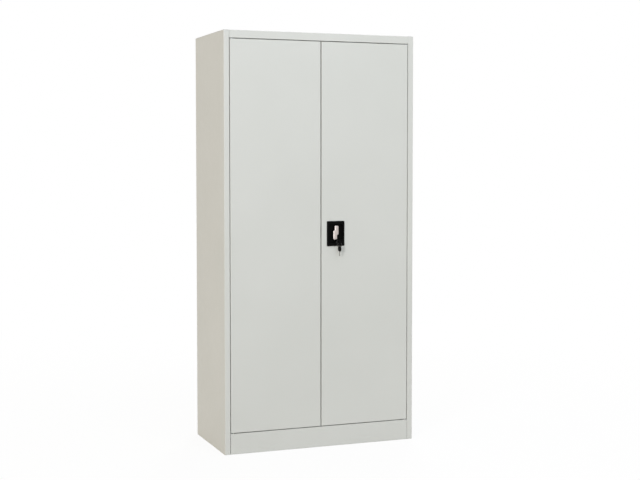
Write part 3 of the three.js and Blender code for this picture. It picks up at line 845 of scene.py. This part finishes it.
def key_ring():
    """A split ring: two turns of flat wire, side by side, with a short cross-over."""
    low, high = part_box("key_ring")
    centre = (low + high) / 2
    mean = (high.x - low.x) / 2 - WIRE_RADIUS
    crossing, crossed = CROSSING_SHARES
    rings = []
    for i in range(WIRE_STEPS + 1):
        share = i / WIRE_STEPS
        turn = 2 * math.pi * RING_TURNS * share + RING_START
        side = (eased((share - crossing) / (crossed - crossing)) - 0.5) * WIRE_RADIUS
        end = min(1.0, WIRE_END_SHARE + WIRE_TAPER * min(share, 1 - share))
        ring = []
        for j in range(WIRE_SIDES):
            angle = 2 * math.pi * j / WIRE_SIDES
            reach = mean + end * WIRE_RADIUS * signed_power(math.cos(angle), WIRE_ROUNDNESS)
            across = WIRE_THICKNESS_SHARE * WIRE_RADIUS * signed_power(math.sin(angle), WIRE_ROUNDNESS)
            ring.append((
                centre.x + reach * math.cos(turn),
                centre.y + side + across,
                centre.z + reach * math.sin(turn),
            ))
        rings.append(ring)
    dressed(loft("key_ring_split", rings), "ring", "black_nickel", "key_ring")


# Plinth
def plinth():
    """The folded plinth, a little short of the stiles, so that a dark joint shows at each end."""
    low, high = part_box("plinth")
    foot = low.y + PLINTH_FOOT
    inner_fold = FOLD_RADIUS - SHEET
    section = outline([
        (high.y, high.z - SILL_FLANGE, 0),
        (high.y, high.z, FOLD_RADIUS),
        (low.y, high.z, FOLD_RADIUS),
        (low.y, low.z, FOLD_RADIUS),
        (foot, low.z, 0),
        (foot, low.z + SHEET, 0),
        (low.y + SHEET, low.z + SHEET, inner_fold),
        (low.y + SHEET, high.z - SHEET, inner_fold),
        (high.y - SHEET, high.z - SHEET, inner_fold),
        (high.y - SHEET, high.z - SILL_FLANGE, 0),
    ])
    panel = prism("plinth_folded", section, low.x + PLINTH_JOINT, high.x - PLINTH_JOINT, lengthways)
    through = (high.z - OVERRUN, high.z + OVERRUN)
    rod_low, rod_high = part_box("lower_rod")
    rod = standing(rod_low.x + ROD_WIDTH / 2, (rod_low.y + rod_high.y) / 2)
    rod_slot = rectangle(ROD_WIDTH + 2 * SLIDE, rod_high.y - rod_low.y + 2 * SLIDE, 0)
    openings = [prism("slot", rod_slot, *through, rod)]
    for side in ("left", "right"):
        bush = middle(f"pivot_bush_{side}")
        hole = circle(SLEEVE_RADIUS + CLEARANCE)
        openings.append(prism("hole", hole, *through, standing(bush.x, bush.y)))
    rounded(cut(panel, *openings), SHEET_EDGE, segments=2)
    dressed(panel, "carcass", "paint", "plinth")


# Small fittings: pivots, buffers, screws, rivets and weld marks
def bushes():
    """The flanged bushes that the doors' lower pins turn in."""
    for side in ("left", "right"):
        low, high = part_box(f"pivot_bush_{side}")
        centre = (low + high) / 2
        bore = PIN_RADIUS + CLEARANCE
        under = high.z - FLANGE_THICKNESS
        bush = revolved(f"pivot_bush_{side}_turned", [
            (bore, low.z),
            (bore, high.z - TURNED_EDGE),
            (bore + TURNED_EDGE, high.z),
            (FLANGE_RADIUS - TURNED_EDGE, high.z),
            (FLANGE_RADIUS, high.z - TURNED_EDGE),
            (FLANGE_RADIUS, under),
            (SLEEVE_RADIUS, under),
            (SLEEVE_RADIUS, low.z + TURNED_EDGE),
            (SLEEVE_RADIUS - TURNED_EDGE, low.z),
        ], standing(centre.x, centre.y), closed=True)
        dressed(bush, "carcass", "nylon", f"pivot_bush_{side}")


def buffers():
    """The rubber domes that the doors close on."""
    for side in ("left", "right"):
        low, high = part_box(f"door_buffer_{side}")
        centre = (low + high) / 2
        radius = (high.x - low.x) / 2
        profile = []
        for i in range(ARC_STEPS + 1):
            turn = math.pi / 2 * i / ARC_STEPS
            share = BUFFER_FLAT_SHARE + (1 - BUFFER_FLAT_SHARE) * math.sin(turn)
            profile.append((radius * share, low.y + BUFFER_DOME * (1 - math.cos(turn))))
        profile.append((radius, high.y))
        buffer = revolved(f"door_buffer_{side}_dome", profile, facing(centre.x, centre.z))
        dressed(buffer, "carcass", "rubber", f"door_buffer_{side}")


def stud(name, radius, rise, shares, face, place, sides):
    """A low round head on a face towards +Y, which starts inside the sheet."""
    profile = [(radius, face - SHEET / 2)]
    profile += [(radius * across, face + rise * up) for across, up in shares]
    return revolved(name, profile, place, sides=sides)


def spaced(low, high, pitch):
    """Heights between low and high at about that pitch, with half a space at each end."""
    count = round((high - low) / pitch)
    spacing = (high - low) / count
    return [low + spacing * (i + 0.5) for i in range(count)]


def screw(x, face, z):
    """A pan head with a cross recess."""
    top = face + SCREW_RISE
    head = stud("screw", SCREW_RADIUS, SCREW_RISE, SCREW_SHARES, face, facing(x, z), SCREW_SIDES)
    arms = [
        prism("arm", rectangle(wide, tall, 0), top - SCREW_RECESS, top + OVERRUN, facing(x, z))
        for wide, tall in ((SCREW_RADIUS, SCREW_SLOT), (SCREW_SLOT, SCREW_RADIUS))
    ]
    return cut(head, *arms)


def case_screws():
    """The two screws of the lock case."""
    low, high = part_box("lock_case")
    heights = (low.z + SCREW_INSET, high.z - SCREW_INSET)
    screws = [screw(low.x + SCREW_INSET, high.y, z) for z in heights]
    dressed(together("lock_case_screws", screws), "right_door", "zinc")


def rivets():
    """Blind rivets down the lap of the two back panels."""
    low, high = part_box("back_panel_left")
    heads = [
        stud("rivet", RIVET_RADIUS, RIVET_RISE, RIVET_SHARES, high.y, facing(0, z), SCREW_SIDES)
        for z in spaced(low.z, high.z, RIVET_PITCH)
    ]
    dressed(together("back_rivets", heads), "carcass", "zinc")


def weld_marks():
    """Spot welds through the feet of each door's stiffener."""
    for side in ("left", "right"):
        low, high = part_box(f"door_{side}_stiffener")
        face = low.y + SHEET
        marks = [
            stud("weld", WELD_RADIUS, WELD_RISE, WELD_SHARES, face, facing(x, z), WELD_SIDES)
            for x in (low.x + FOOT_WIDTH / 2, high.x - FOOT_WIDTH / 2)
            for z in spaced(low.z, high.z, WELD_PITCH)
        ]
        dressed(together(f"weld_marks_{side}", marks), f"{side}_door", "paint")


# Stage, light and camera
def white_to_the_eye(tree):
    """1 for rays from the camera and for those that a mirror or glass sends on, otherwise 0."""
    path = node(tree, "LightPath")
    total = path.outputs["Is Camera Ray"]
    for name in ("Is Glossy Ray", "Is Transmission Ray"):
        largest = tree.nodes.new("ShaderNodeMath")
        largest.operation = "MAXIMUM"
        tree.links.new(total, largest.inputs[0])
        tree.links.new(path.outputs[name], largest.inputs[1])
        total = largest.outputs["Value"]
    return total


def mixed(tree, share, first, second):
    """A shader that goes from first to second with share."""
    mix = node(tree, "MixShader")
    tree.links.new(share, mix.inputs["Fac"])
    tree.links.new(first, mix.inputs[1])
    tree.links.new(second, mix.inputs[2])
    return mix.outputs["Shader"]


def sky():
    """An even sky that lights the cupboard, warmer on one side, and looks white."""
    world = bpy.data.worlds.new("studio")
    bpy.context.scene.world = world
    world.use_nodes = True
    tree = world.node_tree
    tree.nodes.clear()
    direction = node(tree, "TexCoord")
    toward = node(tree, "VectorMath")
    toward.operation = "DOT_PRODUCT"
    toward.inputs[1].default_value = WARM_SIDE
    tree.links.new(direction.outputs["Generated"], toward.inputs[0])
    warmth = ranged(tree, toward.outputs["Value"], 0, 1, WARM_RANGE)
    light = node(tree, "Background", Strength=SKY_STRENGTH)
    tree.links.new(tinted(tree, warmth, SKY_COLOUR, WARM_COLOUR), light.inputs["Color"])
    backdrop = node(tree, "Background", Color=WHITE, Strength=1.0)
    seen = mixed(tree, white_to_the_eye(tree), light.outputs["Background"], backdrop.outputs["Background"])
    tree.links.new(seen, tree.nodes.new("ShaderNodeOutputWorld").inputs["Surface"])


def matt_paper(name):
    """Matt paper of the floor's shade, with its node tree and its shader's output."""
    made, tree, shader = material(name, Roughness=1.0, Specular_IOR_Level=0.0)
    shader.inputs["Base Color"].default_value = (*FLOOR_SHADE, 1)
    return made, tree, shader.outputs["BSDF"]


def glowing_paper():
    """Paper that looks white, and whiter far out, but still takes the shadow of the cupboard."""
    made, tree, paper = matt_paper("floor_paper")
    white = node(tree, "BsdfDiffuse", Color=WHITE).outputs["BSDF"]
    glow = node(tree, "Emission", Color=WHITE, Strength=1.0).outputs["Emission"]
    place = node(tree, "TexCoord")
    distance = node(tree, "VectorMath")
    distance.operation = "LENGTH"
    tree.links.new(place.outputs["Object"], distance.inputs[0])
    share = ranged(tree, distance.outputs["Value"], *FLOOR_GLOW_SHARES, FLOOR_FADE)
    seen = mixed(tree, share, white, glow)
    surface = mixed(tree, white_to_the_eye(tree), paper, seen)
    tree.links.new(surface, tree.nodes["Material Output"].inputs["Surface"])
    return made


def level(name, low, high, z, surface):
    """A level rectangle of the stage."""
    made = shown(name, [
        (low.x, low.y, z), (high.x, low.y, z), (high.x, high.y, z), (low.x, high.y, z),
    ], [(0, 1, 2, 3)])
    made.data.materials.append(surface)


def floor():
    """The floor, and a darker patch under the cupboard, which shows through its joints."""
    corner = Vector((FLOOR_SPREAD / 2, FLOOR_SPREAD / 2))
    level("floor", -corner, corner, 0, glowing_paper())
    front_left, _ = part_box("plinth")
    _, back_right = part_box("floor_panel")
    inset = Vector((PLINTH_JOINT, 2 * SHEET, 0))
    under, _, _ = matt_paper("floor_under_paper")
    level("floor_under", front_left + inset, back_right - inset, UNDER_RISE, under)


def lamp(name, place, size, power, colour):
    """A round soft lamp that points near the middle of the cupboard."""
    data = bpy.data.lights.new(name, "AREA")
    data.shape = "DISK"
    data.size = size
    data.energy = power
    data.color = colour
    made = bpy.data.objects.new(name, data)
    bpy.context.scene.collection.objects.link(made)
    made.location = place
    made.rotation_euler = (Vector(LAMP_AIM) - Vector(place)).to_track_quat("-Z", "Y").to_euler()


def camera():
    """The photograph's point of view."""
    data = bpy.data.cameras.new("camera")
    data.lens = CAMERA_LENS
    data.shift_y = SHIFT_PIXELS / PHOTO_WIDTH
    made = bpy.data.objects.new("camera", data)
    bpy.context.scene.collection.objects.link(made)
    made.location = CAMERA_PLACE
    made.rotation_euler = (math.pi / 2 + CAMERA_TILT, 0, CAMERA_TURN)
    bpy.context.scene.camera = made


cad_materials()
lever_handle()
lock_housing()
cylinder()
plug()
keys()
key_ring()
plinth()
bushes()
buffers()
case_screws()
rivets()
weld_marks()

sky()
floor()
for lamp_name, values in LAMPS.items():
    lamp(lamp_name, **values)
camera()
bpy.context.scene.view_settings.view_transform = "Standard"
